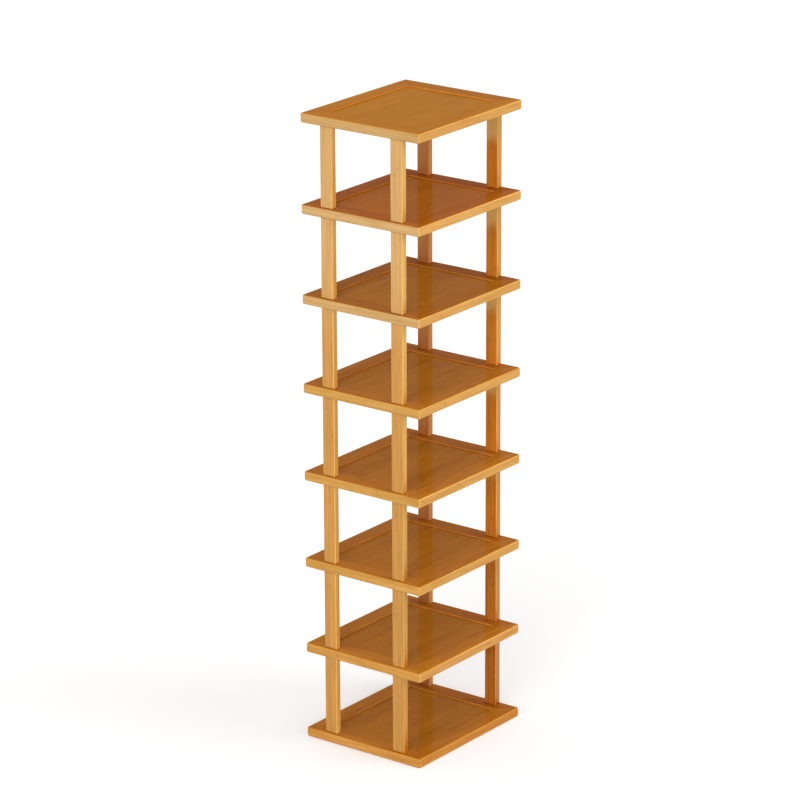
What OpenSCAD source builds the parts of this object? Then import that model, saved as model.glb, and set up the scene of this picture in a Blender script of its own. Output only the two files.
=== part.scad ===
// Tall narrow shoe rack in lacquered bamboo: a stack of framed shelves held apart by short legs.
// Millimetres. The origin is on the floor under the middle of the rack, +Z is up,
// and shoes go in from the front, which faces -Y.

/* [Rack] */
// Number of shelves, the top board and the base board included
shelf_count = 8; // [3:1:8]
// Width of a shelf from its left edge to its right edge
shelf_w = 350; // [250:5:450]
// Depth of a shelf from its front edge to its back edge
shelf_d = 295; // [230:5:400]

/* [Shelf frame] */
// Thickness of a shelf frame
board_t = 20; // [18:0.5:30]
// Width of each frame rail, seen from above
rail_w = 40; // [34:1:60]
// Radius of a shelf's four corners, seen from above
corner_r = 5; // [4.5:0.5:12]
// Radius that eases the long outer edges
edge_r = 3.5; // [0.5:0.25:4]
// Radius that eases the long inner edges
inner_edge_r = 1; // [0.5:0.25:1.5]

/* [Shelf panel] */
// Thickness of the panel inside the frame
panel_t = 6; // [4:0.5:8]
// How far the panel lies below the top of the frame
panel_drop = 3; // [2:0.5:5]
// Depth of the groove that holds the edge of the panel
groove_depth = 8; // [5:0.5:12]
// Room left beyond each edge of the panel, at the bottom of the groove
panel_edge_gap = 0.8; // [0.2:0.1:2]
// Play above the panel in its groove
panel_play = 0.2; // [0.1:0.05:0.5]

/* [Legs] */
// Length of one leg, which is the clear height between two shelves
leg_len = 168.6; // [120:0.1:260]
// Wide side of a leg, from front to back
leg_w = 30; // [24:1:44]
// Narrow side of a leg, from left to right
leg_t = 15; // [14:0.5:20]
// Radius that eases the upright edges of a leg
leg_round = 3; // [1:0.5:4]
// Distance from the left or right edge of the shelf to the leg
leg_side_inset = 6; // [3:0.5:10]
// Distance from the front or back edge of the shelf to the leg
leg_end_inset = 45; // [36:1:70]
// Size of the small bevel round each end of a leg
leg_end_bevel = 1; // [0.5:0.1:2]

/* [Fasteners] */
// Diameter of the threaded studs and of the base bolts
stud_d = 6; // [4:0.5:6]
// Length of stud or bolt that is screwed into a leg
stud_grip = 11; // [8:0.5:11.5]
// Clearance around a stud or a bolt where it passes through a shelf
stud_gap = 0.3; // [0.2:0.05:0.6]
// Outer diameter of a threaded insert
insert_d = 9; // [8:0.5:10]
// Length of a threaded insert
insert_len = 12; // [12:0.5:14]
// Clearance around inserts, dowels and the thread inside an insert
fit_gap = 0.05; // [0.02:0.01:0.1]
// Room left past the blind end of an insert, a stud or a dowel
blind_gap = 1; // [0.5:0.1:2]
// Diameter of a base bolt's head
bolt_head_d = 12; // [10:0.5:13]
// Height of a base bolt's head
bolt_head_h = 4; // [3:0.5:5]
// Clearance around a bolt's head in its counterbore
bolt_head_gap = 0.5; // [0.3:0.1:1]
// How far a bolt's head stays above the floor
bolt_head_recess = 1.5; // [1:0.1:3]
// Hexagon key size of a base bolt, across flats
bolt_key = 4; // [3:0.5:5]
// Depth of the hexagon in a base bolt's head
bolt_key_depth = 2.2; // [1.5:0.1:2.5]
// Diameter of the dowels in the mitred corners
dowel_d = 6; // [5:0.5:8]
// Length of the dowels in the mitred corners
dowel_len = 30; // [20:1:32]

/* [Hidden] */
$fn = 48;
// How far a cutting shape runs past the surface that it cuts
cut_over = 1;
tier_count = shelf_count - 1;
shelf_pitch = board_t + leg_len;
leg_x = shelf_w / 2 - leg_side_inset - leg_t / 2;
leg_y = shelf_d / 2 - leg_end_inset - leg_w / 2;
stud_bore_r = stud_d / 2 + stud_gap;
thread_bore_r = stud_d / 2 + fit_gap;
insert_bore_r = insert_d / 2 + fit_gap;
insert_bore_depth = insert_len + blind_gap;
dowel_bore_r = dowel_d / 2 + fit_gap;
counterbore_r = bolt_head_d / 2 + bolt_head_gap;
counterbore_depth = bolt_head_recess + bolt_head_h;
groove_h = panel_t + panel_play;
groove_z = board_t - panel_drop - panel_t;
panel_w = shelf_w - 2 * (rail_w - groove_depth) - 2 * panel_edge_gap;
panel_d = shelf_d - 2 * (rail_w - groove_depth) - 2 * panel_edge_gap;
rail_colour = "#d9a45c";
panel_colour = "#bd7d3a";
leg_colour = "#dda963";
steel_colour = "#b9bcc0";
brass_colour = "#c9a24a";
dowel_colour = "#e3c08a";
leg_names = ["front_left", "front_right", "back_left", "back_right"];
leg_sides = [[-1, -1], [1, -1], [-1, 1], [1, 1]];

// Height of a shelf's underside above the floor, counted from 1 at the floor
function shelf_z(shelf) = (shelf - 1) * shelf_pitch;
// Height of the foot of a tier's legs
function leg_z(tier) = shelf_z(tier) + board_t;

// What is cut off a square corner at the origin to leave it round
module corner_waste(r) {
    difference() {
        translate([-cut_over, -cut_over]) square(r + cut_over);
        translate([r, r]) circle(r);
    }
}

// Cross-section of a rail: x runs inwards from the outer face and y runs up
module rail_section() {
    difference() {
        square([rail_w, board_t]);
        corner_waste(edge_r);
        translate([0, board_t]) mirror([0, 1]) corner_waste(edge_r);
        translate([rail_w, 0]) mirror([1, 0]) corner_waste(inner_edge_r);
        translate([rail_w, board_t]) rotate(180) corner_waste(inner_edge_r);
        translate([rail_w - groove_depth, groove_z]) square([groove_depth + cut_over, groove_h]);
    }
}

// Half cross-section of a shelf's round corner, from its centre line out to its face
module corner_section() {
    difference() {
        square([corner_r, board_t]);
        translate([corner_r, 0]) mirror([1, 0]) corner_waste(edge_r);
        translate([corner_r, board_t]) rotate(180) corner_waste(edge_r);
    }
}

// One rail with mitred ends: it lies along x, its outer face is at y = 0
module rail_blank(length) {
    run = length - 2 * corner_r;
    far = length / 2 + cut_over;
    near = length / 2 - rail_w - cut_over;
    intersection() {
        union() {
            translate([-run / 2, 0, 0]) rotate([90, 0, 90]) linear_extrude(run) rail_section();
            for (side = [-1, 1])
                translate([side * run / 2, corner_r, 0]) rotate_extrude() corner_section();
        }
        translate([0, 0, -cut_over]) linear_extrude(board_t + 2 * cut_over)
            polygon([[-far, -cut_over], [far, -cut_over],
                     [near, rail_w + cut_over], [-near, rail_w + cut_over]]);
    }
}

// Puts its children at one end of a rail, in the middle of the mitre and square to it
module at_mitre(length, side) {
    translate([side * (length / 2 - rail_w / 2), rail_w / 2, board_t / 2])
        rotate([0, 90, side * -135]) children();
}

// A rail with the bores for the dowels in its two mitres
module rail(length) {
    bore_len = dowel_len + 2 * blind_gap;
    difference() {
        rail_blank(length);
        for (side = [-1, 1])
            at_mitre(length, side) cylinder(h = bore_len, r = dowel_bore_r, center = true);
    }
}

// Bore for one leg's fastener, from the underside of a side rail: a blind hole for an insert
// in the top shelf, a counterbored hole in the base, and a plain hole in the shelves between
module fastener_bore(shelf) {
    if (shelf == shelf_count) {
        translate([0, 0, -cut_over]) cylinder(h = insert_bore_depth + cut_over, r = insert_bore_r);
    } else {
        translate([0, 0, -cut_over]) cylinder(h = board_t + 2 * cut_over, r = stud_bore_r);
    }
    if (shelf == 1) {
        translate([0, 0, -cut_over]) cylinder(h = counterbore_depth + cut_over, r = counterbore_r);
    }
}

// The front rail and the back rail of a shelf
module long_rails(shelf) {
    color(rail_colour) translate([0, 0, shelf_z(shelf)])
        for (turn = [0, 180])
            rotate(turn) translate([0, -shelf_d / 2, 0]) rail(shelf_w);
}

// The left rail and the right rail of a shelf, which carry the legs
module side_rails(shelf) {
    color(rail_colour) translate([0, 0, shelf_z(shelf)])
        for (turn = [-90, 90])
            rotate(turn) translate([0, -shelf_w / 2, 0]) difference() {
                rail(shelf_d);
                for (side = [-1, 1])
                    translate([side * leg_y, shelf_w / 2 - leg_x, 0]) fastener_bore(shelf);
            }
}

// The panel of a shelf, seated on the lower side of the grooves
module panel(shelf) {
    color(panel_colour) translate([-panel_w / 2, -panel_d / 2, shelf_z(shelf) + groove_z])
        cube([panel_w, panel_d, panel_t]);
}

// Outline of a leg, seen from above
module leg_section() {
    difference() {
        square([leg_t, leg_w], center = true);
        for (sx = [-1, 1], sy = [-1, 1])
            scale([sx, sy]) translate([-leg_t / 2, -leg_w / 2]) corner_waste(leg_round);
    }
}

// Side view of a leg with bevelled ends: x runs across one of its sides and y runs up
module leg_side(width) {
    half = width / 2;
    shoulder = half - leg_end_bevel;
    top = leg_len - leg_end_bevel;
    polygon([[-shoulder, 0], [shoulder, 0], [half, leg_end_bevel], [half, top],
             [shoulder, leg_len], [-shoulder, leg_len], [-half, top], [-half, leg_end_bevel]]);
}

// A leg as a plain piece of wood that stands on its lower end
module leg_blank() {
    intersection() {
        linear_extrude(leg_len) leg_section();
        translate([0, leg_w / 2 + cut_over, 0])
            rotate([90, 0, 0]) linear_extrude(leg_w + 2 * cut_over) leg_side(leg_t);
        translate([-leg_t / 2 - cut_over, 0, 0])
            rotate([90, 0, 90]) linear_extrude(leg_t + 2 * cut_over) leg_side(leg_w);
    }
}

// One leg with a blind bore for an insert in each end
module leg(tier, sides) {
    color(leg_colour) translate([sides[0] * leg_x, sides[1] * leg_y, leg_z(tier)])
        difference() {
            leg_blank();
            translate([0, 0, -cut_over]) cylinder(h = insert_bore_depth + cut_over, r = insert_bore_r);
            translate([0, 0, leg_len - insert_bore_depth])
                cylinder(h = insert_bore_depth + cut_over, r = insert_bore_r);
        }
}

// Puts its children on the four leg lines, at a height
module at_legs(z) {
    for (sides = leg_sides)
        translate([sides[0] * leg_x, sides[1] * leg_y, z]) children();
}

// A threaded insert that stands up from its lower end
module insert() {
    difference() {
        cylinder(h = insert_len, d = insert_d);
        translate([0, 0, -cut_over]) cylinder(h = insert_len + 2 * cut_over, r = thread_bore_r);
    }
}

module leg_foot_inserts() {
    color(brass_colour) for (tier = [1:tier_count]) at_legs(leg_z(tier)) insert();
}

module leg_head_inserts() {
    color(brass_colour) for (tier = [1:tier_count]) at_legs(leg_z(tier) + leg_len - insert_len) insert();
}

module top_shelf_inserts() {
    color(brass_colour) at_legs(shelf_z(shelf_count)) insert();
}

// Studs that join the legs of one tier to the next, straight through the shelf between them
module joining_studs() {
    color(steel_colour) for (shelf = [2:tier_count])
        at_legs(shelf_z(shelf) - stud_grip) cylinder(h = board_t + 2 * stud_grip, d = stud_d);
}

// Short studs between the highest legs and the inserts in the top shelf
module top_shelf_studs() {
    color(steel_colour) at_legs(shelf_z(shelf_count) - stud_grip) cylinder(h = 2 * stud_grip, d = stud_d);
}

// Bolts that come up through the base into the lowest legs
module base_bolts() {
    color(steel_colour) at_legs(bolt_head_recess) difference() {
        union() {
            cylinder(h = bolt_head_h, d = bolt_head_d);
            cylinder(h = board_t - bolt_head_recess + stud_grip, d = stud_d);
        }
        translate([0, 0, -cut_over])
            cylinder(h = bolt_key_depth + cut_over, d = bolt_key / cos(30), $fn = 6);
    }
}

// Dowels that pin the mitred corners of every shelf
module corner_dowels() {
    color(dowel_colour) for (shelf = [1:shelf_count], turn = [0, 180], side = [-1, 1])
        translate([0, 0, shelf_z(shelf)]) rotate(turn) translate([0, -shelf_d / 2, 0])
            at_mitre(shelf_w, side) cylinder(h = dowel_len, d = dowel_d, center = true);
}

for (shelf = [1:shelf_count]) {
    long_rails(shelf);
    side_rails(shelf);
    panel(shelf);
}
for (tier = [1:tier_count], corner = [0:3]) {
    leg(tier, leg_sides[corner]);
}
leg_foot_inserts();
leg_head_inserts();
top_shelf_inserts();
joining_studs();
top_shelf_studs();
base_bolts();
corner_dowels();
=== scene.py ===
# %% [markdown]
# # A tall bamboo shoe rack
# The rack is a tower of eight framed shelves. Seven tiers of short legs hold them apart, and the
# whole tower is clear lacquered bamboo. The joinery is already modelled: this script loads it as
# a frame that stays where it is, and adds what a camera sees, which is the wood and its finish.
# Everything is in metres, +Z is up, and the front of the rack faces -Y.

# %% Load the joinery
import math

import bpy
from mathutils import Matrix, Vector


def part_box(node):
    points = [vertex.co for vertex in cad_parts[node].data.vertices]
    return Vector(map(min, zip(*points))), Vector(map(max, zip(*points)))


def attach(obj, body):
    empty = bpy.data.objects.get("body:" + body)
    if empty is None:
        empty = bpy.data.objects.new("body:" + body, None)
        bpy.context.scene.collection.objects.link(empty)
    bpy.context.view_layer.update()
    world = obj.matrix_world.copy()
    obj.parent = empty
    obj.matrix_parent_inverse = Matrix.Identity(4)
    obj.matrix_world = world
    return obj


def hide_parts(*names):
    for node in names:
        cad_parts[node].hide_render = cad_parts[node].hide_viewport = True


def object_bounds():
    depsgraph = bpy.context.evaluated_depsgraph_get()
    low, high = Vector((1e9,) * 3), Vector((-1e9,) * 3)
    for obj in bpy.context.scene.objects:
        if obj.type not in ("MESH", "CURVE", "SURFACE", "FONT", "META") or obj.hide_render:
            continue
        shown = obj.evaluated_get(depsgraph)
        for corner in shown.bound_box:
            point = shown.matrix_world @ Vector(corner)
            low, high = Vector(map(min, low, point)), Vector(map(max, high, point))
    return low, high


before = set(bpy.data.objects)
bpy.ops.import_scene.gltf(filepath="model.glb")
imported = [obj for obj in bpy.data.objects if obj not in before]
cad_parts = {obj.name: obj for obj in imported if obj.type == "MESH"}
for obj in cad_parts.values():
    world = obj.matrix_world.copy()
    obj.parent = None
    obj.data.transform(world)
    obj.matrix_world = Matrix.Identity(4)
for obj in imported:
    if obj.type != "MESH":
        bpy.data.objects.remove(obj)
cad_low, cad_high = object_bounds()
print("pieces in the frame:", len(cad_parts), "height:", round(cad_high.z, 4))

# %% [markdown]
# ## Sizes that the finish needs
# Wood grain has to follow each piece: along a rail, up a leg. The pattern therefore needs to know
# how far apart the shelves stand and where a leg begins. Typing those sizes again would let them
# drift from the joinery, so they are measured on it.

# %% Measure the rack
shelf_low, shelf_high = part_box("shelf_1_long_rails")
next_low, next_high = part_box("shelf_2_long_rails")
leg_low, leg_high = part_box("leg_back_right_1")

shelf_w = shelf_high.x - shelf_low.x
shelf_d = shelf_high.y - shelf_low.y
board_t = shelf_high.z - shelf_low.z
shelf_pitch = next_low.z - shelf_low.z
rack_h = cad_high.z
shelf_count = sum(name.endswith("_panel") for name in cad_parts)
rail_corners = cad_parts["shelf_1_long_rails"].data.vertices
rail_w = shelf_d / 2 - min(abs(corner.co.y) for corner in rail_corners)
print("shelves:", shelf_count, "pitch:", round(shelf_pitch, 4))
print("rails:", round(rail_w, 4), "by", round(board_t, 4))

# %% [markdown]
# ## Camera
# The rack was photographed from the left and a little above, through a long lens, so its edges
# are almost parallel. A camera could be placed by hand and nudged. Here its angles, distance and
# focal length come from fitting the shelves' edges with the picture kept centred. That leaves them
# about a pixel off, and up to three and a half. A lens shift would fit closer.

# %% Camera
camera_azimuth = math.radians(-52.98)
camera_elevation = math.radians(18.24)
camera_roll = math.radians(-0.23)
camera_distance = 8.278
camera_aim = Vector((-0.0032, 0.0296, 0.7163))
image_px = 800
focal_px = 4035.3
sensor_width = 36.0

back = Vector((math.sin(camera_azimuth) * math.cos(camera_elevation),
               -math.cos(camera_azimuth) * math.cos(camera_elevation),
               math.sin(camera_elevation)))
level = Vector((math.cos(camera_azimuth), math.sin(camera_azimuth), 0))
upright = back.cross(level)
right = math.cos(camera_roll) * level + math.sin(camera_roll) * upright
up = -math.sin(camera_roll) * level + math.cos(camera_roll) * upright

lens = bpy.data.cameras.new("lens")
lens.sensor_width = sensor_width
lens.lens = focal_px / image_px * sensor_width
lens.clip_end = 50
camera = bpy.data.objects.new("camera", lens)
turn = Matrix((right, up, back)).transposed().to_4x4()
camera.matrix_world = Matrix.Translation(camera_aim + camera_distance * back) @ turn
bpy.context.scene.collection.objects.link(camera)
bpy.context.scene.camera = camera
print("lens:", round(lens.lens, 1), "mm")

# %% [markdown]
# ## Node trees in few words
# Blender's materials and Geometry Nodes are both built from nodes. Adding each one by hand takes
# four or five lines, which hides the idea behind the plumbing. This small helper adds a node,
# feeds its sockets and returns its output, so that a pattern reads like a recipe. The functions
# below call it n.

# %% A helper for node trees
class Nodes:
    """Adds nodes to a tree one after another, each fed by plain values or by earlier outputs."""

    def __init__(self, tree):
        self.tree = tree

    def add(self, kind, feeds=None, out=0, **settings):
        """Adds a node and returns its output. feeds maps its sockets to values or outputs."""
        node = self.tree.nodes.new(kind)
        for name, value in settings.items():
            setattr(node, name, value)
        for socket, value in (feeds or {}).items():
            self.feed(node.inputs[socket], value)
        return node.outputs[out] if node.outputs else node

    def feed(self, socket, value):
        """Links an earlier output to a socket, or sets the socket's own value."""
        if isinstance(value, bpy.types.NodeSocket):
            self.tree.links.new(value, socket)
        else:
            socket.default_value = value

    def math(self, operation, *values):
        return self.add("ShaderNodeMath", dict(enumerate(values)), operation=operation)

    def smooth(self, value, low, high):
        """0 where value is below low, 1 where it is above high, and eased between them."""
        return self.add("ShaderNodeMapRange", {0: value, 1: low, 2: high},
                        interpolation_type="SMOOTHSTEP")

    def vector(self, x, y, z):
        return self.add("ShaderNodeCombineXYZ", {0: x, 1: y, 2: z})

    def parts(self, vector):
        """The x, y and z of a vector."""
        node = self.tree.nodes.new("ShaderNodeSeparateXYZ")
        self.feed(node.inputs[0], vector)
        return {"X": node.outputs[0], "Y": node.outputs[1], "Z": node.outputs[2]}

    def mix(self, share, first, second, blend="MIX"):
        """A mix of two colours. The node has a pair of sockets for each kind of data: 2 and 3 are
        for numbers, 6 and 7 for colours."""
        return self.add("ShaderNodeMix", {0: share, 6: first, 7: second}, out=2,
                        data_type="RGBA", blend_type=blend)

    def ramp(self, value, stops):
        """A colour that changes with value. stops are pairs of a value and a colour."""
        node = self.tree.nodes.new("ShaderNodeValToRGB")
        self.feed(node.inputs[0], value)
        elements = node.color_ramp.elements
        while len(elements) < len(stops):
            elements.new(1.0)
        for element, (place, colour) in zip(elements, stops):
            element.position = place
            element.color = colour
        return node.outputs[0]

    def random(self, vector):
        return self.add("ShaderNodeTexWhiteNoise", {"Vector": vector})

    def noise(self, vector, detail=2.0):
        return self.add("ShaderNodeTexNoise", {"Vector": vector, "Scale": 1.0, "Detail": detail})


def new_material(name):
    """An empty material, and the helper that fills it."""
    material = bpy.data.materials.new(name)
    material.use_nodes = True
    material.node_tree.nodes.clear()
    return material, Nodes(material.node_tree)


def srgb(red, green, blue):
    """A colour given in the 0 to 255 steps of a picture, as the linear colour that shaders take."""
    def linear(step):
        share = step / 255
        return share / 12.92 if share <= 0.04045 else ((share + 0.055) / 1.055) ** 2.4
    return (linear(red), linear(green), linear(blue), 1.0)


print("straw in linear light:", [round(part, 3) for part in srgb(220, 174, 110)])

# %% [markdown]
# ## What laminated bamboo looks like
# A bamboo culm is a thin tube, so boards are glued up from narrow strips. That leaves four marks
# that tell bamboo from other woods. The strips differ a little in tone. Fine fibres run the whole
# length of each. A thin glue line parts them. And where the culm had a joint, a strip shows a
# short dark bar across the grain, at its own place.
#
# An image texture would need unwrapping and would repeat. Every mark here is worked out from the
# point's own place on the piece instead, in metres, so it stays at its true scale. The next cells
# each make one of the marks, and the last ones mix them.
#
# First the place itself. Each shelf or leg should start its pattern afresh, so the height is
# counted from the shelf's own underside, and x and y from the middle of the rack outwards. A
# hair is added to the height first, so that the underside itself counts as its own shelf. Each
# separate piece of wood also gets a number of its own, as a seed for its tone. The odd steps in it
# keep two pieces from adding up to the same number.

# %% Where a point is
hair = 0.001
tier_step = 7.31
side_step = 1.37


def where(n):
    """The point's place, its distances from the middle planes and its shelf, and which shelf."""
    at = n.parts(n.add("ShaderNodeTexCoord", out="Object"))
    away = {axis: n.math("ABSOLUTE", at[axis]) for axis in "XY"}
    tier = n.math("FLOOR", n.math("DIVIDE", n.math("ADD", at["Z"], hair), shelf_pitch))
    away["Z"] = n.math("SUBTRACT", at["Z"], n.math("MULTIPLY", tier, shelf_pitch))
    return at, away, tier


def piece_number(n, at, tier, sides):
    """A number for each separate piece of wood. sides are the axes whose two sides are two pieces."""
    number = n.math("MULTIPLY", tier, tier_step)
    for index, axis in enumerate(sides):
        side = n.math("MULTIPLY", n.math("SIGN", at[axis]), side_step + index)
        number = n.math("ADD", number, side)
    return number


print("shelf underside", shelf_count, "at", round((shelf_count - 1) * shelf_pitch, 4))

# %% [markdown]
# ### Strips and glue lines
# Dividing a distance by the strip's width gives a count: its whole part says which strip the
# point is in, and its fraction how far across. Near 0 or 1 the point is at a glue line. A random
# tone for each strip only needs the whole part as its seed.

# %% Strips
def strip_cell(n, distance, start, width):
    """Which strip a distance falls in, and how far it is from the nearer side of that strip."""
    count = n.math("DIVIDE", n.math("SUBTRACT", distance, start), width)
    middle = n.math("ABSOLUTE", n.math("SUBTRACT", n.math("FRACT", count), 0.5))
    return n.math("FLOOR", count), n.math("MULTIPLY", n.math("SUBTRACT", 0.5, middle), width)


glue_line = 0.0003
print("glue line:", glue_line * 1000, "mm")

# %% [markdown]
# ### Fibres, streaks and clouds
# Noise that is squeezed across the grain and drawn out along it turns into fibres. Three sizes of
# it are enough: fibres under a millimetre wide, streaks of a few millimetres and broad clouds. The
# place across the grain is pushed sideways a little by slow noise, so that the streaks wander.

# %% Grain
def grain_noise(n, along, across, up_down, length, width, detail):
    """Noise drawn out along the grain. length and width are the size of one streak."""
    return n.noise(n.vector(n.math("DIVIDE", along, length), n.math("DIVIDE", across, width),
                            n.math("DIVIDE", up_down, width)), detail)


def wander(n, along, across, sway, length):
    """The place across the grain, swayed by slow noise along it."""
    place = n.vector(n.math("DIVIDE", along, length), n.math("DIVIDE", across, length), 0.0)
    slow = n.noise(place, detail=1.0)
    return n.math("MULTIPLY_ADD", n.math("SUBTRACT", slow, 0.5), sway, across)


FIBRES = {"length": 0.060, "width": 0.0007, "detail": 3.0}
STREAKS = {"length": 0.100, "width": 0.0042, "detail": 3.0}
CLOUDS = {"length": 0.160, "width": 0.0300, "detail": 2.0}
SWAY = {"sway": 0.012, "length": 0.150}
print("widths: fibres", FIBRES["width"], "streaks", STREAKS["width"], "clouds", CLOUDS["width"])

# %% [markdown]
# ### The culm's joints
# A culm has a joint every 25 to 35 cm. Each strip was cut from another place on it, so each is
# shifted by a random part of that distance, and the bars of neighbours don't line up.

# %% Culm joints
culm_pitch = 0.290
bar_reach = (0.0006, 0.0026)
shade_reach = (0.0020, 0.0120)
ragged_by = 0.0016


def culm_joint(n, along, seed, fibre):
    """The short dark bar of a culm joint and the faint shade round it, each from 0 to 1."""
    shift = n.math("MULTIPLY", n.random(seed), culm_pitch)
    count = n.math("DIVIDE", n.math("ADD", along, shift), culm_pitch)
    distance = n.math("ABSOLUTE", n.math("SUBTRACT", n.math("FRACT", count), 0.5))
    distance = n.math("MULTIPLY", distance, culm_pitch)
    ragged = n.math("MULTIPLY_ADD", fibre, ragged_by, distance)
    bar = n.math("SUBTRACT", 1.0, n.smooth(ragged, *bar_reach))
    shade = n.math("SUBTRACT", 1.0, n.smooth(distance, *shade_reach))
    return bar, shade


print("a culm joint every", culm_pitch, "m")

# %% [markdown]
# ### Faces and edges
# The strips lie flat in a board. Its broad faces are painted browner than its edges, as painted shade, so
# the colour depends on which way a face looks. The normal says that, and it doesn't change when the view
# does. Sides that look into the rack have tones of their own, which are painted light and shade: most are a
# deeper brown than those that look out, and the legs' inner sides along Y are lighter. The rails are
# mitred, so the joint's fine line runs where a point is as far in from the shelf's side as from its front.

# %% Which way a face looks
flat_limits = (0.45, 0.95)
turn_limit = 0.5
outward_limit = 0.3
mitre_reach = 0.0005


def facing(n, at):
    """Three shares that steer the painted light and shade: how far a face looks up or down, how far it
    looks along Y rather than X, and how far it looks out from the rack's middle, squared so that rounded
    edges lean to the inner sides' painted shade."""
    normal = n.parts(n.add("ShaderNodeNewGeometry", out="Normal"))
    flat = n.smooth(n.math("ABSOLUTE", normal["Z"]), *flat_limits)
    lean = n.math("SUBTRACT", n.math("ABSOLUTE", normal["Y"]), n.math("ABSOLUTE", normal["X"]))
    along_y = n.smooth(lean, -turn_limit, turn_limit)
    out_x, out_y = (n.smooth(n.math("MULTIPLY", n.math("SIGN", at[axis]), normal[axis]),
                             -outward_limit, outward_limit) for axis in "XY")
    outward = n.math("MULTIPLY_ADD", along_y, n.math("SUBTRACT", out_y, out_x), out_x)
    return flat, along_y, n.math("POWER", outward, 2.0)


def mitre_line(n, away):
    """1 on the joint where two rails of a shelf meet at 45 degrees."""
    from_end_x = n.math("SUBTRACT", shelf_w / 2, away["X"])
    from_end_y = n.math("SUBTRACT", shelf_d / 2, away["Y"])
    distance = n.math("ABSOLUTE", n.math("SUBTRACT", from_end_x, from_end_y))
    return n.math("SUBTRACT", 1.0, n.smooth(distance, 0.0, mitre_reach))


print("mitres run in from each corner to", round(rail_w * math.sqrt(2), 4), "m")

# %% [markdown]
# ### From light to dark
# One number says how dark the wood is at a point: 0 is the lightest and 1 the darkest. Each strip
# and each piece of wood moves it by a random step, and streaks and clouds make it waver.
# Blender's noise seldom leaves the range from 0.3 to 0.7, so it is stretched between those limits.
# A small table says how much each of the four counts. The grain is calm at the top of the rack and
# livelier towards the floor, so streaks and clouds count for more on the way down.

# %% Tone
TONE_SHARES = {"strip": 0.30, "piece": 0.14, "streak": 0.36, "cloud": 0.20}
noise_limits = (0.3, 0.7)
piece_seed = (3.0, 5.0)


def grain_tone(n, piece, strip, layer, streak, cloud, contrast):
    """How dark the wood is. contrast is what the streaks and clouds are multiplied by."""
    tone = n.math("MULTIPLY", n.random(n.vector(piece, strip, layer)), TONE_SHARES["strip"])
    tone = n.math("MULTIPLY_ADD", n.random(n.vector(piece, *piece_seed)), TONE_SHARES["piece"], tone)
    streak = n.math("SUBTRACT", n.smooth(streak, *noise_limits), 0.5)
    cloud = n.math("SUBTRACT", n.smooth(cloud, *noise_limits), 0.5)
    lively = n.math("MULTIPLY", streak, TONE_SHARES["streak"])
    lively = n.math("MULTIPLY_ADD", cloud, TONE_SHARES["cloud"], lively)
    tone = n.math("ADD", tone, (TONE_SHARES["streak"] + TONE_SHARES["cloud"]) / 2)
    return n.math("MULTIPLY_ADD", lively, contrast, tone)


print("shares of the tone:", TONE_SHARES)

# %% [markdown]
# ### A colour for each kind of face
# Every kind of face has a light and a dark colour, and the tone mixes them. A ramp by height then
# multiplies the mix from tier to tier, mostly darker and warmer towards the floor, as painted shade. Where
# a piece stands on the right, its top and its outer side along Y are multiplied by a brown, a painted
# shade, and so are the inner sides of the back right legs, as the deepest painted shade.

# %% Colour
def at_back_right(n, at):
    """1 on the back right legs and 0 on the others."""
    on_right = n.math("GREATER_THAN", at["X"], 0.0)
    return n.math("MULTIPLY", on_right, n.math("GREATER_THAN", at["Y"], 0.0))


def face_colour(n, at, height, tone, faces, sides, tones):
    """The wood's colour with its painted light and shade, without its dark marks. faces are the three
    shares from facing().
    """
    flat, along_y, outward = faces

    # The ramp by height multiplies in painted shade.
    def by_height(kind):
        mixed = n.mix(tone, *tones[kind])
        return n.mix(1.0, mixed, n.ramp(height, tones[kind + "_by_height"]), blend="MULTIPLY")

    outer_y = by_height("outer_y")
    # The inner sides' tones are painted shade, and painted light on the legs' inner sides along Y.
    inner = n.mix(along_y, by_height("inner_x"), n.mix(tone, *tones["inner_y"]))
    face = by_height("face")
    if "X" in sides:
        # A painted shade on the right: a brown multiplied into tops and outer sides along Y.
        on_right = n.math("GREATER_THAN", at["X"], 0.0)
        right_side_shade = n.ramp(height, tones["right_side_shade"])
        outer_y = n.mix(on_right, outer_y, right_side_shade, blend="MULTIPLY")
        face = n.mix(on_right, face, right_side_shade, blend="MULTIPLY")
    if sides == "XY":
        # The deepest painted shade, on the back right legs' inner sides.
        inner = n.mix(at_back_right(n, at), inner, tones["back_right"], blend="MULTIPLY")
    outer = n.mix(along_y, by_height("outer_x"), outer_y)
    # Broad faces take their own tone, painted browner as shade.
    return n.mix(flat, n.mix(outward, inner, outer), face)


print("kinds of faces: broad, outer and inner, the last two along X and along Y")

# %% [markdown]
# ### Dark marks
# Fibres, glue lines, culm joints and mitres all darken the wood towards the same brown. A second
# small table says how deep each of them goes. Where several meet, their depths add up, but only to
# a limit, so that no spot turns into a hole. How deep the glue lines go differs from piece to
# piece and comes with the tones.

# %% Marks
MARK_DEPTHS = {"fibre": 0.14, "bar": 0.22, "shade": 0.05, "mitre": 0.45}
deepest_mark = 0.8


def mark_depth(n, marks, depths):
    """How deep all marks together colour the wood. Both tables go by the kind of mark."""
    total = 0.0
    for kind, mark in marks.items():
        total = n.math("MULTIPLY_ADD", mark, depths[kind], total)
    return n.math("MINIMUM", total, deepest_mark)


print("depths of the marks:", MARK_DEPTHS)

# %% [markdown]
# ### The whole finish
# Now everything comes together in one shader. The grain of every strip is shifted along by the
# strip's own number, so that neighbours never match. Fibres and glue lines are also pressed in a
# little, which only the bump shows. Lacquer could be a clear coat over the wood or the wood's own
# gloss. A coat is colourless and suits the boards. On the legs the mirrored background is tinted
# like straw, so there the gloss belongs to the wood. Both come in as plain values for the
# shader's sockets.

# %% The bamboo finish
fibre_limits = (0.35, 0.75)
grain_shift = 0.37
relief_depth = 0.00004
relief_strength = 0.2
glue_relief = 1.5


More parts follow.
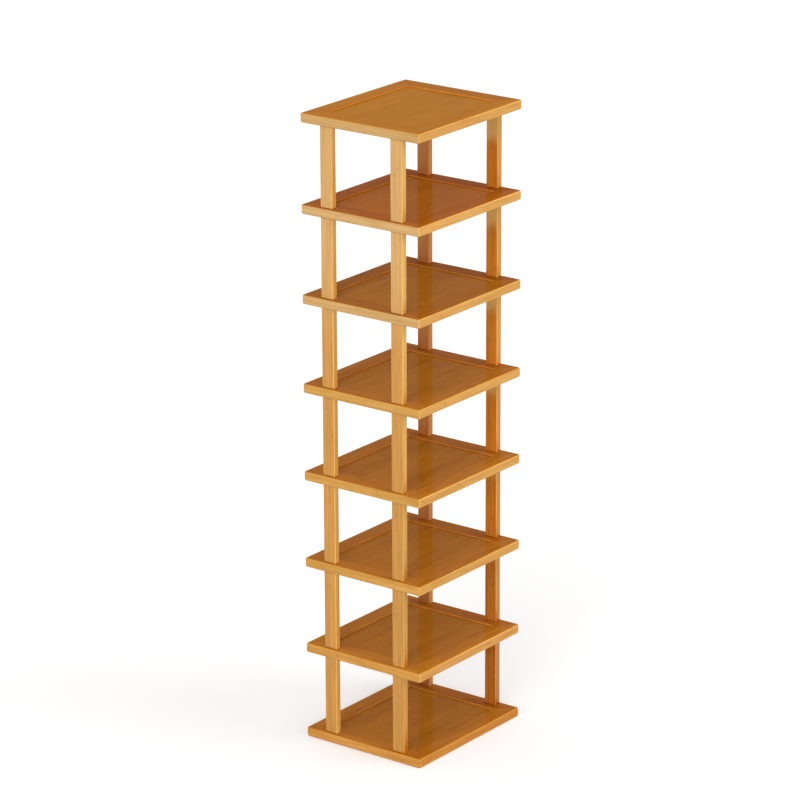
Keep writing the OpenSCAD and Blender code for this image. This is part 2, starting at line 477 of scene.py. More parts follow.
def bamboo(name, grain, strips, layers, sides, tones, gloss, roughness, mitred=False):
    """A bamboo finish. grain is the axis of the fibres. strips and layers are the two directions
    across it, each an axis, the place where the first strip starts, and the strip's width. sides
    are the axes whose two sides are separate pieces. tones are the colours, the depth of the glue
    lines and the grain's contrast at the floor, and gloss the values of the lacquer's sockets.
    roughness holds its least value and what streaks, faces that look along Y and the inner sides
    of the back right legs add to it."""
    material, n = new_material(name)
    at, away, tier = where(n)
    height = n.math("DIVIDE", at["Z"], rack_h)
    piece = piece_number(n, at, tier, sides)
    strip, strip_side = strip_cell(n, away[strips[0]], *strips[1:])
    layer, layer_side = strip_cell(n, away[layers[0]], *layers[1:])
    glue = n.math("SUBTRACT", 1.0, n.smooth(n.math("MINIMUM", strip_side, layer_side), 0.0, glue_line))

    along = n.math("MULTIPLY_ADD", n.math("ADD", piece, strip), grain_shift, at[grain])
    across = wander(n, along, away[strips[0]], **SWAY)
    fibre = grain_noise(n, along, away[strips[0]], away[layers[0]], **FIBRES)
    streak = grain_noise(n, along, across, away[layers[0]], **STREAKS)
    cloud = grain_noise(n, along, across, away[layers[0]], **CLOUDS)
    bar, shade = culm_joint(n, at[grain], n.vector(strip, layer, piece), fibre)

    contrast = n.math("MULTIPLY_ADD", height, 1.0 - tones["floor_contrast"], tones["floor_contrast"])
    tone = grain_tone(n, piece, strip, layer, streak, cloud, contrast)
    faces = facing(n, at)
    colour = face_colour(n, at, height, tone, faces, sides, tones)

    marks = {"fibre": n.smooth(fibre, *fibre_limits), "glue": glue, "bar": bar, "shade": shade}
    if mitred:
        marks["mitre"] = mitre_line(n, away)
    depth = mark_depth(n, marks, {**MARK_DEPTHS, "glue": tones["glue"]})
    colour = n.mix(depth, colour, tones["mark"], blend="MULTIPLY")

    relief = n.math("MULTIPLY_ADD", glue, glue_relief, marks["fibre"])
    bump = n.add("ShaderNodeBump", {
        "Strength": relief_strength, "Distance": relief_depth, "Height": relief}, invert=True)
    along_y, outward = faces[1:]
    rough = n.math("MULTIPLY_ADD", streak, roughness["streaks"], roughness["least"])
    rough = n.math("MULTIPLY_ADD", along_y, roughness["along_y"], rough)
    if sides == "XY":
        duller = n.math("MULTIPLY", at_back_right(n, at), n.math("SUBTRACT", 1.0, outward))
        rough = n.math("MULTIPLY_ADD", duller, roughness["back_right_inner"], rough)
    shader = n.add("ShaderNodeBsdfPrincipled", {
        "Base Color": colour, "Roughness": rough, "Normal": bump, **gloss})
    n.add("ShaderNodeOutputMaterial", {"Surface": shader})
    print("finish:", name, "nodes:", len(n.tree.nodes))
    return material


# %% [markdown]
# ## The rack's tones, with painted light and shade
# The same pattern gives every finish. What differs is the direction of the fibres, the strips that the
# piece is glued from, and its colours: straw on the edges and warm brown on broad faces, where the brown is
# painted shade. The ramps by height paint shade as well: the wood gets darker and warmer from tier to tier,
# most of all towards the floor. On the right, the tops of the side rails and the legs' outer sides along Y
# are painted browner than on the left, as painted shade, and the inner sides of the back right legs get the
# deepest painted shade and are the least glossy. Painted light makes the long rails' edges lighter than the
# side rails', and the legs' inner sides along Y lighter than their outer ones. The panels' faces are
# painted darker than the rails' tops, as painted shade. The legs' grain is the liveliest near the floor,
# and the panels stay calm. All this was set by trial against one photograph, so it holds its light and
# shade: from the right, the legs' fronts look too red.

# %% Tones and lacquer
def shares(*stops):
    """Stops of a ramp by height, each a share of the rack's height and the share of each colour."""
    return [(place, (red, green, blue, 1.0)) for place, red, green, blue in stops]


SIDE_RAIL_TONES = {
    "outer_x": (srgb(225, 184, 125), srgb(196, 152, 87)),
    # Inner sides painted a deeper brown: painted shade.
    "inner_x": (srgb(228, 152, 68), srgb(208, 133, 54)),
    # Broad faces painted browner than the edges: painted shade.
    "face": (srgb(218, 146, 45), srgb(188, 116, 28)),
    # Ramps by height: painted shade, darker and warmer from tier to tier.
    "outer_x_by_height": shares((0.0, 0.98, 0.75, 0.43), (0.30, 1.0, 0.85, 0.52), (0.58, 0.95, 0.82, 0.50),
                                (0.72, 1.0, 1.0, 1.0), (0.90, 1.0, 1.0, 1.0),
                                (1.0, 0.94, 0.92, 0.86)),
    "inner_x_by_height": shares((0.0, 1.0, 1.0, 1.0)),
    "face_by_height": shares((0.60, 1.0, 1.0, 1.0), (0.71, 0.82, 0.77, 0.54), (0.86, 0.85, 0.67, 0.45),
                             (1.0, 0.95, 0.93, 0.52)),
    # Painted shade on the right.
    "right_side_shade": shares((0.0, 0.84, 0.74, 0.72), (1.0, 0.90, 0.85, 0.80)),
    "mark": srgb(150, 92, 40), "glue": 0.26, "floor_contrast": 1.7,
}
# A side rail has the same tones along Y as along X.
for kind in ("outer_x", "inner_x", "outer_x_by_height"):
    SIDE_RAIL_TONES[kind.replace("_x", "_y")] = SIDE_RAIL_TONES[kind]

# The long rails' edges are painted lighter than the side rails': painted light. Their ramp by height is
# painted shade.
long_edge = (srgb(252, 200, 116), srgb(224, 166, 81))
long_edge_by_height = shares((0.0, 0.82, 0.64, 0.42), (0.14, 0.90, 0.84, 0.85), (0.30, 0.94, 0.93, 0.90),
                             (0.57, 0.93, 0.92, 0.90), (0.90, 1.0, 1.0, 1.0), (1.0, 0.93, 0.90, 0.86))
LONG_RAIL_TONES = {
    **SIDE_RAIL_TONES,
    "outer_x": long_edge, "outer_x_by_height": long_edge_by_height,
    "outer_y": long_edge, "outer_y_by_height": long_edge_by_height,
}
PANEL_TONES = {
    **SIDE_RAIL_TONES,
    # The panels' faces are painted darker than the rails' tops: painted shade. Their ramp by height is
    # painted shade too.
    "face": (srgb(191, 125, 34), srgb(163, 98, 19)),
    "face_by_height": shares((0.60, 1.0, 1.0, 1.0), (0.72, 1.0, 1.0, 0.88), (0.86, 1.0, 0.86, 0.72),
                             (1.0, 1.0, 1.0, 0.75)),
    "glue": 0.10, "floor_contrast": 1.3,
}
LEG_TONES = {
    **SIDE_RAIL_TONES,
    "outer_x": (srgb(244, 183, 118), srgb(209, 148, 89)),
    "outer_y": (srgb(250, 187, 96), srgb(214, 151, 69)),
    # The legs' inner sides: painted shade along X, painted light along Y.
    "inner_x": (srgb(255, 169, 62), srgb(225, 139, 41)),
    "inner_y": (srgb(255, 205, 112), srgb(250, 180, 86)),
    # Ramps by height: painted shade towards the floor.
    "outer_x_by_height": shares((0.0, 0.80, 0.54, 0.10), (0.50, 0.86, 0.58, 0.16),
                                (0.66, 0.92, 0.65, 0.26), (0.76, 1.0, 1.0, 1.0)),
    "outer_y_by_height": shares((0.05, 0.79, 0.47, 0.03), (0.22, 0.75, 0.63, 0.26),
                                (0.36, 0.81, 0.74, 0.48), (0.50, 1.0, 0.84, 0.70), (0.64, 1.0, 1.0, 1.0)),
    "inner_x_by_height": shares((0.0, 0.76, 0.72, 0.80), (0.24, 0.84, 0.84, 1.0), (0.34, 1.0, 1.0, 1.0)),
    # Painted shade on the right legs.
    "right_side_shade": shares((0.06, 0.70, 0.30, 0.05), (0.20, 0.86, 0.47, 0.05), (1.0, 0.80, 0.52, 0.05)),
    # The deepest painted shade, on the back right legs' inner sides.
    "back_right": (0.68, 0.45, 0.60, 1.0),
    "floor_contrast": 2.4,
}
BOARD_LACQUER = {"IOR": 1.5, "Specular IOR Level": 0.0, "Coat Weight": 0.10, "Coat Roughness": 0.12,
                 "Coat IOR": 1.5}
BOARD_ROUGHNESS = {"least": 0.42, "streaks": 0.15, "along_y": 0.0}
LEG_LACQUER = {"IOR": 1.8, "Specular IOR Level": 1.0, "Specular Tint": (1.0, 0.95, 0.35, 1.0)}
LEG_ROUGHNESS = {"least": 0.08, "streaks": 0.06, "along_y": 0.25, "back_right_inner": 0.45}
print("tones for side rails, long rails, panels and legs, each", len(SIDE_RAIL_TONES), "or more")

# %% [markdown]
# ## Finishes for rails and legs
# A rail shows two strips on its 40 mm top and three layers on its 20 mm edge. A leg shows four
# strips on its wide side and three on its narrow side. All of them run the length of the piece.

# %% Rail and leg finishes
side_rail_strips = ("X", shelf_w / 2 - rail_w, rail_w / 2)
long_rail_strips = ("Y", shelf_d / 2 - rail_w, rail_w / 2)
rail_layers = ("Z", 0.0, board_t / 3)
side_rail_bamboo = bamboo("side_rail_bamboo", "Y", side_rail_strips, rail_layers, "X",
                          SIDE_RAIL_TONES, BOARD_LACQUER, BOARD_ROUGHNESS, mitred=True)
long_rail_bamboo = bamboo("long_rail_bamboo", "X", long_rail_strips, rail_layers, "Y",
                          LONG_RAIL_TONES, BOARD_LACQUER, BOARD_ROUGHNESS, mitred=True)

leg_strips = ("Y", leg_low.y, (leg_high.y - leg_low.y) / 4)
leg_layers = ("X", leg_low.x, (leg_high.x - leg_low.x) / 3)
leg_bamboo = bamboo("leg_bamboo", "Z", leg_strips, leg_layers, "XY", LEG_TONES, LEG_LACQUER, LEG_ROUGHNESS)

# %% [markdown]
# A piece whose shape is right only needs its finish, which goes into the material slots that it
# already has. The name of each piece says what it is.

# %% Dress the rails and legs
def dress(node, material):
    for slot in node.material_slots:
        slot.material = material


leg_names = sorted(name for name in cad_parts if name.startswith("leg_") and "inserts" not in name)
for number in range(1, shelf_count + 1):
    dress(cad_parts[f"shelf_{number}_long_rails"], long_rail_bamboo)
    dress(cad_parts[f"shelf_{number}_side_rails"], side_rail_bamboo)
for name in leg_names:
    dress(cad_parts[name], leg_bamboo)
print("dressed", 2 * shelf_count, "pairs of rails and", len(leg_names), "legs")

# %% [markdown]
# ## Geometry Nodes in few words
# A Geometry Nodes tree is a recipe that makes geometry. It suits whatever repeats or follows a
# rule: the sizes are named inputs, and the same recipe serves eight panels or sixty inserts. Each
# tree here takes a cloud of points and puts one copy of its shape on every point. The copies are
# then made real, because instances are lost when a model is exported, and get their material.

# %% Helpers for Geometry Nodes
def new_tree(name, floats, integers=()):
    """A tree with a cloud of points as its first input and then its named sizes and counts.
    Returns its helper and the inputs."""
    tree = bpy.data.node_groups.new(name, "GeometryNodeTree")
    tree.interface.new_socket("Points", in_out="INPUT", socket_type="NodeSocketGeometry")
    for title in floats:
        tree.interface.new_socket(title, in_out="INPUT", socket_type="NodeSocketFloat")
    for title in integers:
        tree.interface.new_socket(title, in_out="INPUT", socket_type="NodeSocketInt")
    tree.interface.new_socket("Material", in_out="INPUT", socket_type="NodeSocketMaterial")
    tree.interface.new_socket("Geometry", in_out="OUTPUT", socket_type="NodeSocketGeometry")
    return Nodes(tree), tree.nodes.new("NodeGroupInput").outputs


def plant(n, size, shape, rotation=None):
    """Ends a tree: a copy of shape on every point, made real, with the material."""
    feeds = {"Points": size["Points"], "Instance": shape}
    if rotation:
        feeds["Rotation"] = rotation
    copies = n.add("GeometryNodeInstanceOnPoints", feeds)
    real = n.add("GeometryNodeRealizeInstances", {"Geometry": copies})
    finished = n.add("GeometryNodeSetMaterial", {"Geometry": real, "Material": size["Material"]})
    n.add("NodeGroupOutput", {"Geometry": finished})
    return n.tree


def grow(name, tree, points, **values):
    """Runs a tree on a cloud of points and returns the plain mesh object that it makes."""
    piece = bpy.data.objects.new(name, bpy.data.meshes.new(name + "_points"))
    piece.data.from_pydata(points, [], [])
    bpy.context.scene.collection.objects.link(piece)
    recipe = piece.modifiers.new("recipe", "NODES")
    recipe.node_group = tree
    for socket in tree.interface.items_tree:
        if socket.in_out == "INPUT" and socket.name in values:
            recipe[socket.identifier] = values[socket.name]
    finished = piece.evaluated_get(bpy.context.evaluated_depsgraph_get())
    mesh = bpy.data.meshes.new_from_object(finished)
    mesh.name = name
    piece.modifiers.clear()
    piece.data = mesh
    print(name + ":", len(points), "points,", len(mesh.polygons), "faces")
    return piece


def stand_for(piece, node):
    """The piece rides on the rack in the place of a node, which is hidden."""
    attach(piece, "root")
    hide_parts(node)


print("trees end in: instances made real, then the material")

# %% [markdown]
# ## The shelf panels
# Each panel is glued up from strips that lie side by side and run from left to right. A plain
# board would do for a drawing. On a real one the strips' edges are eased by a hair before they
# are glued, which leaves a fine line between them, so here each strip is a body of its own: a
# rounded rectangle swept along a line, a glue film's thickness away from the next. Its faces are
# shaded flat, because smooth shading would make each wide strip look like a pillow. A row of
# points places the strips across the shelf.

# %% Recipe for a panel
def panel_recipe():
    """Strips side by side, with their middle on the point."""
    sizes = ("Width", "Depth", "Thickness", "Eased edge", "Glue film")
    n, size = new_tree("strip_panel", sizes, ("Strips",))
    strip_w = n.math("DIVIDE", size["Depth"], size["Strips"])
    outline = n.add("GeometryNodeCurvePrimitiveQuadrilateral", {
        "Width": n.math("SUBTRACT", strip_w, size["Glue film"]), "Height": size["Thickness"]})
    outline = n.add("GeometryNodeFilletCurve", {"Curve": outline, "Radius": size["Eased edge"], "Count": 2},
                    mode="POLY")
    half = n.math("MULTIPLY", size["Width"], 0.5)
    line = n.add("GeometryNodeCurvePrimitiveLine", {
        "Start": n.vector(n.math("MULTIPLY", half, -1.0), 0.0, 0.0), "End": n.vector(half, 0.0, 0.0)})
    strip = n.add("GeometryNodeCurveToMesh", {"Curve": line, "Profile Curve": outline, "Fill Caps": True})
    strip = n.add("GeometryNodeSetShadeSmooth", {"Geometry": strip, "Shade Smooth": False})
    first = n.math("MULTIPLY", n.math("SUBTRACT", strip_w, size["Depth"]), 0.5)
    row = n.add("GeometryNodeMeshLine", {
        "Count": size["Strips"], "Start Location": n.vector(0.0, first, 0.0),
        "Offset": n.vector(0.0, strip_w, 0.0)})
    strips = n.add("GeometryNodeInstanceOnPoints", {"Points": row, "Instance": strip})
    return plant(n, size, strips)


panel_tree = panel_recipe()
print("panel recipe nodes:", len(panel_tree.nodes))

# %% Make the eight panels
panel_strip_count = 14
panel_low, panel_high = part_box("shelf_1_panel")
panel_size = panel_high - panel_low
panel_strips = ("Y", 0.0, panel_size.y / panel_strip_count)
# The one layer is far thicker than a panel, so that no glue line runs along its edges.
panel_layers = ("Z", -1.0, 3.0)
panel_bamboo = bamboo("panel_bamboo", "X", panel_strips, panel_layers, "",
                      PANEL_TONES, BOARD_LACQUER, BOARD_ROUGHNESS)
for number in range(1, shelf_count + 1):
    node = f"shelf_{number}_panel"
    low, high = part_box(node)
    panel = grow(f"shelf_{number}_panel_strips", panel_tree, [(low + high) / 2], **{
        "Width": panel_size.x, "Depth": panel_size.y, "Thickness": panel_size.z, "Eased edge": 0.0001,
        "Glue film": 0.00002, "Strips": panel_strip_count, "Material": panel_bamboo})
    stand_for(panel, node)

# %% [markdown]
# ## Threads
# Studs, bolts and inserts hold the tiers together inside the legs. A thread is a ridge that winds
# up a rod like a stair, and the recipe makes it from a flat grid. The grid is rolled into a tube
# so that each turn of the roll climbs by one pitch, and every second row of it is drawn in to the
# root. Where the roll closes, its two edges meet exactly and are merged. Towards both ends the
# ridge fades into the root, and a last row closes the rod at its middle, or at a bore.

# %% Recipe for a threaded rod
merge_distance = 0.000002


def threaded_rod(n, radius, depth, pitch, length, bore, sides):
    """A rod that stands on the origin, with a thread outside and, if bore is not 0, a bore."""
    # Two rows to a turn, root and crest. One row more closes the foot and one or two the top.
    turns = n.math("ADD", n.math("CEIL", n.math("DIVIDE", length, pitch)), 1.0)
    last = n.math("MULTIPLY", turns, 2.0)
    hollow = n.math("GREATER_THAN", bore, 0.0)
    rows = n.math("ADD", n.math("ADD", last, 3.0), hollow)
    span = n.math("SUBTRACT", rows, 1.0)
    grid = n.add("GeometryNodeMeshGrid", {
        "Size X": 1.0, "Size Y": span, "Vertices X": n.math("ADD", sides, 1.0), "Vertices Y": rows})
    place = n.parts(n.add("GeometryNodeInputPosition"))
    share = n.math("ADD", place["X"], 0.5)
    row = n.math("ROUND", n.math("MULTIPLY_ADD", span, 0.5, n.math("SUBTRACT", place["Y"], 1.0)))

    climb = n.math("ADD", n.math("MULTIPLY", row, 0.5), n.math("SUBTRACT", share, 1.0))
    height = n.math("MINIMUM", n.math("MAXIMUM", n.math("MULTIPLY", climb, pitch), 0.0), length)
    to_end = n.math("MINIMUM", height, n.math("SUBTRACT", length, height))
    fade = n.math("MINIMUM", n.math("DIVIDE", to_end, pitch), 1.0)
    crest = n.math("SUBTRACT", 1.0, n.math("MODULO", row, 2.0))
    ridge = n.math("MULTIPLY", n.math("MULTIPLY", crest, fade), depth)
    thread_r = n.math("ADD", n.math("SUBTRACT", radius, depth), ridge)

    # The foot's row is -1. Round a bore, the last row brings the wall back down to it.
    below = n.math("LESS_THAN", row, -0.5)
    above = n.math("GREATER_THAN", row, n.math("ADD", last, 0.5))
    closing = n.math("GREATER_THAN", row, n.math("ADD", last, 1.5))
    capped = n.math("MAXIMUM", below, above)
    far_z = n.math("MULTIPLY", n.math("SUBTRACT", above, closing), length)

    def choose(switch, off, on):
        return n.add("ShaderNodeMix", {0: switch, 2: off, 3: on})

    z = choose(capped, height, far_z)
    r = choose(capped, thread_r, bore)
    angle = n.math("MULTIPLY", share, 2 * math.pi)
    rolled = n.vector(n.math("MULTIPLY", r, n.math("COSINE", angle)),
                      n.math("MULTIPLY", r, n.math("SINE", angle)), z)
    tube = n.add("GeometryNodeSetPosition", {"Geometry": grid, "Position": rolled})
    return n.add("GeometryNodeMergeByDistance", {"Geometry": tube, "Distance": merge_distance})


THREAD_SIZES = ("Radius", "Thread depth", "Pitch", "Length", "Bore radius")


def rod_recipe():
    """Threaded rods that stand on the points."""
    n, size = new_tree("threaded_rods", THREAD_SIZES, ("Sides",))
    return plant(n, size, threaded_rod(n, *(size[title] for title in THREAD_SIZES), size["Sides"]))


rod_tree = rod_recipe()
print("threaded rod recipe nodes:", len(rod_tree.nodes))

# %% [markdown]
# ## Metal finishes
# The studs and bolts are zinc plated steel, and the inserts are turned brass. Both are metals, so
# all their colour is in the reflection. Plating is a little cloudy. Turning leaves fine rings
# round the axis, which is upright here, so noise that changes only with height draws them.

# %% Steel and brass
clouds_per_metre = 900.0
ring_w = 0.00012
cloud_roughness = 0.2


def metal(name, light, dark, roughness, ring_depth):
    """A bare metal with cloudy colour, uneven roughness and fine turned rings."""
    material, n = new_material(name)
    place = n.add("ShaderNodeTexCoord", out="Object")
    at = n.parts(place)
    cloud = n.add("ShaderNodeTexNoise", {"Vector": place, "Scale": clouds_per_metre, "Detail": 3.0})
    rings = n.noise(n.vector(0.0, 0.0, n.math("DIVIDE", at["Z"], ring_w)), detail=1.0)
    bump = n.add("ShaderNodeBump", {"Strength": 0.3, "Distance": ring_depth, "Height": rings})
    shader = n.add("ShaderNodeBsdfPrincipled", {
        "Base Color": n.mix(n.smooth(cloud, *noise_limits), light, dark), "Metallic": 1.0,
        "Roughness": n.math("MULTIPLY_ADD", cloud, cloud_roughness, roughness), "Normal": bump})
    n.add("ShaderNodeOutputMaterial", {"Surface": shader})
    return material


zinc_steel = metal("zinc_steel", (0.72, 0.73, 0.75, 1.0), (0.58, 0.60, 0.64, 1.0), 0.22, 0.00001)
turned_brass = metal("turned_brass", (0.78, 0.62, 0.32, 1.0), (0.66, 0.50, 0.24, 1.0), 0.18, 0.00002)
print("metals:", zinc_steel.name, turned_brass.name)

# %% [markdown]
# ## Studs and inserts
# Their places and sizes are measured on the frame: the legs give the upright lines, and the
# corners of each node that lie near one of those lines give its bore and its outer radius. The
# pitches are those that such parts are sold with: 1 mm on a 6 mm stud, and a coarse, deep wood
# thread of 2.4 mm round an insert.

# %% Leg lines and radii
leg_boxes = [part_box(name) for name in leg_names]
leg_middles = [(low + high) / 2 for low, high in leg_boxes]
leg_lines = sorted({(round(middle.x, 5), round(middle.y, 5)) for middle in leg_middles})
leg_feet = sorted({round(low.z, 5) for low, high in leg_boxes})
leg_heads = sorted({round(high.z, 5) for low, high in leg_boxes})


def corners_near(node, line, reach=0.015):
    """The corners of a node that lie near an upright line, as pairs of radius and height."""
    corners = [corner.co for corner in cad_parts[node].data.vertices]
    pairs = [(math.dist(corner[:2], line), corner.z) for corner in corners]
    return [pair for pair in pairs if pair[0] < reach]


def radii(node):
    """The least and the greatest radius of a node round the first leg line."""
    spans = [radius for radius, z in corners_near(node, leg_lines[0])]
    return min(spans), max(spans)


stud_r = radii("joining_studs")[1]
insert_bore_r, insert_r = radii("top_shelf_inserts")
print("leg lines:", leg_lines, "stud radius:", round(stud_r, 5), "insert:", round(insert_r, 5))

# %% Make the studs and inserts
def on_lines(*heights):
    """A point on every leg line at each height."""
    return [(x, y, z) for z in heights for x, y in leg_lines]


STUD_THREAD = {"Radius": stud_r, "Thread depth": 0.0006, "Pitch": 0.001, "Bore radius": 0.0, "Sides": 16}
INSERT_THREAD = {"Radius": insert_r, "Thread depth": 0.0007, "Pitch": 0.0024, "Bore radius": insert_bore_r,
                 "Sides": 24}
top_low, top_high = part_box("top_shelf_studs")
top_stud_len = top_high.z - top_low.z
stud_grip = top_stud_len / 2
insert_low, insert_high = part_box("top_shelf_inserts")
insert_len = insert_high.z - insert_low.z

joining_feet = on_lines(*(z - stud_grip for z in leg_heads[:-1]))
studs = grow("joining_studs_threaded", rod_tree, joining_feet,
             **STUD_THREAD, Length=board_t + 2 * stud_grip, Material=zinc_steel)
stand_for(studs, "joining_studs")
top_studs = grow("top_shelf_studs_threaded", rod_tree, on_lines(top_low.z),
                 **STUD_THREAD, Length=top_stud_len, Material=zinc_steel)
stand_for(top_studs, "top_shelf_studs")

for node, heights in (("leg_foot_inserts", leg_feet), ("top_shelf_inserts", [insert_low.z]),
                      ("leg_head_inserts", [z - insert_len for z in leg_heads])):
    inserts = grow(node + "_threaded", rod_tree, on_lines(*heights),
                   **INSERT_THREAD, Length=insert_len, Material=turned_brass)
    stand_for(inserts, node)

# %% [markdown]
# ## Base bolts
# Four bolts come up through the base into the lowest legs. Their heads sit in counterbores under
# the base and are turned with a hexagon key. The recipe cuts the key's hole out of a disk with a
# Boolean, pulls every second corner of the disk in a little for the knurled rim, and adds the
# same threaded rod as above for the shank.

# %% Recipe for a socket bolt
def bolt_recipe():
    """Bolts that stand on the points, head down."""
    head_sizes = ("Head radius", "Head height", "Knurl depth", "Key radius", "Key depth")
    n, size = new_tree("socket_bolts", THREAD_SIZES + head_sizes, ("Sides", "Knurls"))
    corners = n.math("MULTIPLY", size["Knurls"], 2.0)
    disk = n.add("GeometryNodeMeshCylinder", {
        "Vertices": corners, "Radius": size["Head radius"], "Depth": size["Head height"]})
    place = n.parts(n.add("GeometryNodeInputPosition"))
    angle = n.math("ARCTAN2", place["Y"], place["X"])
    corner = n.math("ROUND", n.math("MULTIPLY", angle, n.math("DIVIDE", corners, 2 * math.pi)))
    valley = n.math("ABSOLUTE", n.math("MODULO", corner, 2.0))
    draw = n.math("DIVIDE", n.math("MULTIPLY", valley, size["Knurl depth"]), size["Head radius"])
    keep = n.math("SUBTRACT", 1.0, draw)
    rim = n.vector(n.math("MULTIPLY", place["X"], keep), n.math("MULTIPLY", place["Y"], keep),
                   n.math("MULTIPLY_ADD", size["Head height"], 0.5, place["Z"]))
    head = n.add("GeometryNodeSetPosition", {"Geometry": disk, "Position": rim})
    key = n.add("GeometryNodeMeshCylinder", {
        "Vertices": 6, "Radius": size["Key radius"], "Depth": n.math("MULTIPLY", size["Key depth"], 2.0)})
    head = n.add("GeometryNodeMeshBoolean", {"Mesh 1": head, "Mesh 2": key}, operation="DIFFERENCE")
    shank = threaded_rod(n, *(size[title] for title in THREAD_SIZES), size["Sides"])
    shank = n.add("GeometryNodeTransform", {
        "Geometry": shank, "Translation": n.vector(0.0, 0.0, size["Head height"])})
    both = n.tree.nodes.new("GeometryNodeJoinGeometry")
    n.feed(both.inputs["Geometry"], head)
    n.feed(both.inputs["Geometry"], shank)
    return plant(n, size, both.outputs[0])


bolt_tree = bolt_recipe()
print("bolt recipe nodes:", len(bolt_tree.nodes))

# %% Make the base bolts
# What is wider than the shank is the head, and the socket's corners lie closest to the middle.
bolt_low, bolt_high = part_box("base_bolts")
bolt_corners = corners_near("base_bolts", leg_lines[0])
head_top = max(z for radius, z in bolt_corners if radius > 1.5 * stud_r)
key_r = min(radius for radius, z in bolt_corners)
key_top = max(z for radius, z in bolt_corners if radius < 1.1 * key_r and z < head_top)
head_sizes = {"Head radius": radii("base_bolts")[1], "Head height": head_top - bolt_low.z,
              "Knurl depth": 0.0002, "Key radius": key_r, "Key depth": key_top - bolt_low.z, "Knurls": 36}
bolts = grow("base_bolts_threaded", bolt_tree, on_lines(bolt_low.z), **STUD_THREAD, **head_sizes,
             Length=bolt_high.z - head_top, Material=zinc_steel)
stand_for(bolts, "base_bolts")

# %% [markdown]
# ## Corner dowels
# A dowel crosses each mitre, square to it. Dowels are fluted, so that the glue can spread along
# them, and their ends are tapered. A star is already the section of a fluted rod, so the recipe
# sweeps one along a line whose radius shrinks at both ends. Each copy is turned to lie across its
# own corner, which only depends on the signs of x and y there.

# %% Recipe for a fluted dowel
def dowel_recipe():
    """Dowels with their middles on the points, each across its own corner."""
    sizes = ("Radius", "Flute depth", "Length", "Taper length", "Taper")
    n, size = new_tree("fluted_dowels", sizes, ("Flutes",))
    section = n.add("GeometryNodeCurveStar", {
        "Points": size["Flutes"], "Inner Radius": n.math("SUBTRACT", size["Radius"], size["Flute depth"]),
        "Outer Radius": size["Radius"], "Twist": 0.0})
    line = n.add("GeometryNodeCurvePrimitiveLine", {})
    line = n.add("GeometryNodeResampleCurve", {"Curve": line, "Count": 4})
    index = n.add("GeometryNodeInputIndex")
    side = n.math("SUBTRACT", index, 1.5)
    at_end = n.math("GREATER_THAN", n.math("ABSOLUTE", side), 1.0)
    half = n.math("MULTIPLY", size["Length"], 0.5)
    shoulder = n.math("SUBTRACT", half, size["Taper length"])
    reach = n.math("MULTIPLY_ADD", at_end, size["Taper length"], shoulder)
    z = n.math("MULTIPLY", n.math("SIGN", side), reach)
    line = n.add("GeometryNodeSetPosition", {"Geometry": line, "Position": n.vector(0.0, 0.0, z)})
    scale = n.math("SUBTRACT", 1.0, n.math("MULTIPLY", at_end, size["Taper"]))
    dowel = n.add("GeometryNodeCurveToMesh", {
        "Curve": line, "Profile Curve": section, "Scale": scale, "Fill Caps": True})
    place = n.parts(n.add("GeometryNodeInputPosition"))
    across = n.vector(n.math("SIGN", place["Y"]), n.math("MULTIPLY", n.math("SIGN", place["X"]), -1.0), 0.0)
    rotation = n.add("FunctionNodeAlignRotationToVector", {"Vector": across}, axis="Z")
    return plant(n, size, dowel, rotation)


dowel_tree = dowel_recipe()
print("dowel recipe nodes:", len(dowel_tree.nodes))

# %% [markdown]
# The dowels are plain pale wood whose fibres run along them, so the grain follows the diagonal of
# each corner. Counting x and y from the middle planes makes the four corners alike.

# %% Dowel finish
dowel_grain_shift = 0.21
DOWEL_FIBRES = {"length": 0.012, "width": 0.0004, "detail": 3.0}


def dowel_wood():
    """Plain pale wood whose fibres follow the dowel."""
    material, n = new_material("plain_dowel_wood")
    at, away, tier = where(n)
    along = n.math("DIVIDE", n.math("SUBTRACT", away["X"], away["Y"]), math.sqrt(2))
    across = n.math("DIVIDE", n.math("ADD", away["X"], away["Y"]), math.sqrt(2))
    along = n.math("MULTIPLY_ADD", tier, dowel_grain_shift, along)
    fibre = grain_noise(n, along, across, away["Z"], **DOWEL_FIBRES)
    colour = n.mix(n.smooth(fibre, *noise_limits), srgb(232, 204, 158), srgb(206, 170, 118))
    bump = n.add("ShaderNodeBump", {"Strength": 0.3, "Distance": relief_depth, "Height": fibre})
    shader = n.add("ShaderNodeBsdfPrincipled", {"Base Color": colour, "Roughness": 0.7, "Normal": bump})
    n.add("ShaderNodeOutputMaterial", {"Surface": shader})
    return material


plain_wood = dowel_wood()
print("dowel finish:", plain_wood.name)

# %% Make the dowels
dowel_low, dowel_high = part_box("corner_dowels")
dowel_r = dowel_high.z - (rack_h - board_t / 2)
dowel_x = shelf_w / 2 - rail_w / 2
dowel_y = shelf_d / 2 - rail_w / 2
dowel_reach = (dowel_high.x - dowel_x) * math.sqrt(2)
dowel_len = 2 * (dowel_reach - dowel_r)
corner_signs = ((-1, -1), (1, -1), (1, 1), (-1, 1))
dowel_points = [(x * dowel_x, y * dowel_y, number * shelf_pitch + board_t / 2)
                for number in range(shelf_count) for x, y in corner_signs]
dowels = grow("corner_dowels_fluted", dowel_tree, dowel_points, **{
    "Radius": dowel_r, "Flute depth": 0.0002, "Length": dowel_len, "Taper length": 0.0015, "Taper": 0.15,
    "Flutes": 16, "Material": plain_wood})
stand_for(dowels, "corner_dowels")

# %% [markdown]
# ## Studio
# A plain white floor, two wide soft lamps and an even white surround. The surround is full white
# where the camera or a reflection looks at it, and dimmer where it only lights the wood, so that
# the background is white without washing out the colours. One lamp shines from the left and a
# weaker one from the front. Both stand low, so that their light reaches in between the shelves,
# and both are sun lamps, which light the top and the base alike.

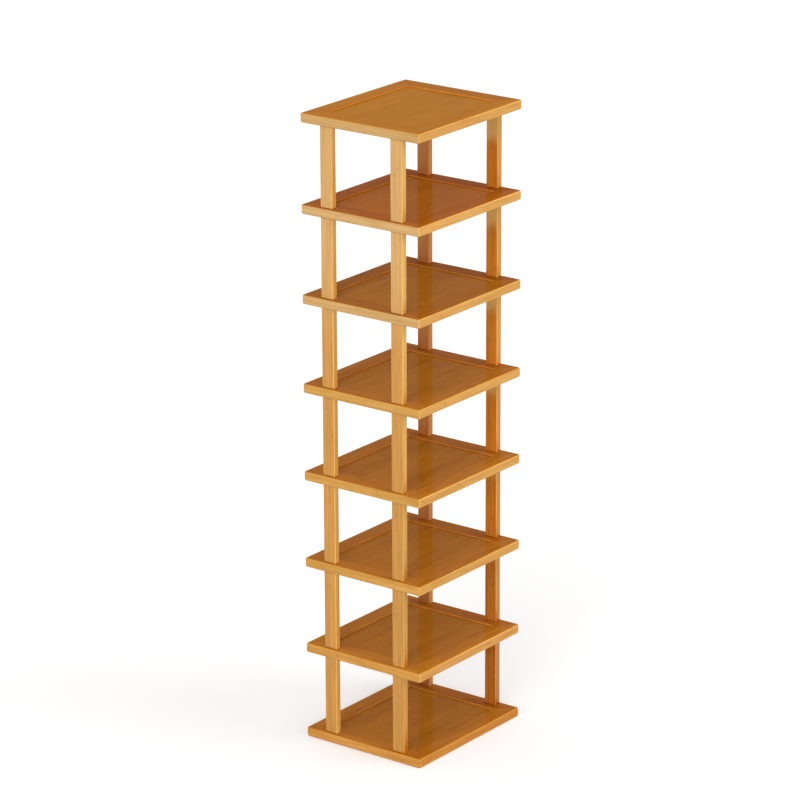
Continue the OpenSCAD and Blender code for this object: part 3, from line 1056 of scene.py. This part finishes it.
# %% Rays that see the background
def background_rays(n):
    """1 for rays from the camera, a reflection or clear glass, and 0 for the light on the wood."""
    rays = n.tree.nodes.new("ShaderNodeLightPath")
    seen = n.math("MAXIMUM", rays.outputs["Is Camera Ray"], rays.outputs["Is Glossy Ray"])
    return n.math("MAXIMUM", seen, rays.outputs["Is Transmission Ray"])


print("seen as background: camera, glossy and transmission rays")

# %% The floor
floor_white = 0.80
floor_glow = 0.30
floor_half = 12.0
floor_drop = 0.0003

floor_mesh = bpy.data.meshes.new("floor")
corners = [(x * floor_half, y * floor_half, -floor_drop) for x, y in corner_signs]
floor_mesh.from_pydata(corners, [], [(0, 1, 2, 3)])
floor = bpy.data.objects.new("floor", floor_mesh)
bpy.context.scene.collection.objects.link(floor)

floor_paint, n = new_material("floor_paint")
matt = n.add("ShaderNodeBsdfDiffuse", {"Color": (floor_white, floor_white, floor_white, 1.0)})
glow = n.add("ShaderNodeEmission", {"Strength": n.math("MULTIPLY", background_rays(n), floor_glow)})
n.add("ShaderNodeOutputMaterial", {"Surface": n.add("ShaderNodeAddShader", {0: matt, 1: glow})})
floor_mesh.materials.append(floor_paint)
print("floor:", floor_white, "and glow", floor_glow)

# %% The surround
surround_light = 0.64
world = bpy.data.worlds.new("surround")
bpy.context.scene.world = world
world.use_nodes = True
world.node_tree.nodes.clear()
n = Nodes(world.node_tree)
strength = n.math("MULTIPLY_ADD", background_rays(n), 1.0 - surround_light, surround_light)
n.add("ShaderNodeOutputWorld", {"Surface": n.add("ShaderNodeBackground", {
    "Color": (1.0, 1.0, 1.0, 1.0), "Strength": strength})})
print("surround:", surround_light, "as light and 1.0 as background")

# %% The lamps
lamp_spread = math.radians(40)
lamp_elevation = math.radians(26)
lamps = {"left_lamp": (math.radians(-70), 0.45), "front_lamp": (math.radians(20), 0.32)}
for name, (azimuth, lamp_level) in lamps.items():
    lamp_data = bpy.data.lights.new(name, "SUN")
    lamp_data.energy = lamp_level * math.pi
    lamp_data.angle = lamp_spread
    lamp = bpy.data.objects.new(name, lamp_data)
    lamp_from = Vector((math.sin(azimuth) * math.cos(lamp_elevation),
                        -math.cos(azimuth) * math.cos(lamp_elevation), math.sin(lamp_elevation)))
    lamp.rotation_euler = lamp_from.to_track_quat("Z", "Y").to_euler()
    bpy.context.scene.collection.objects.link(lamp)
bpy.context.scene.view_settings.view_transform = "Standard"
print("lamps:", *lamps)
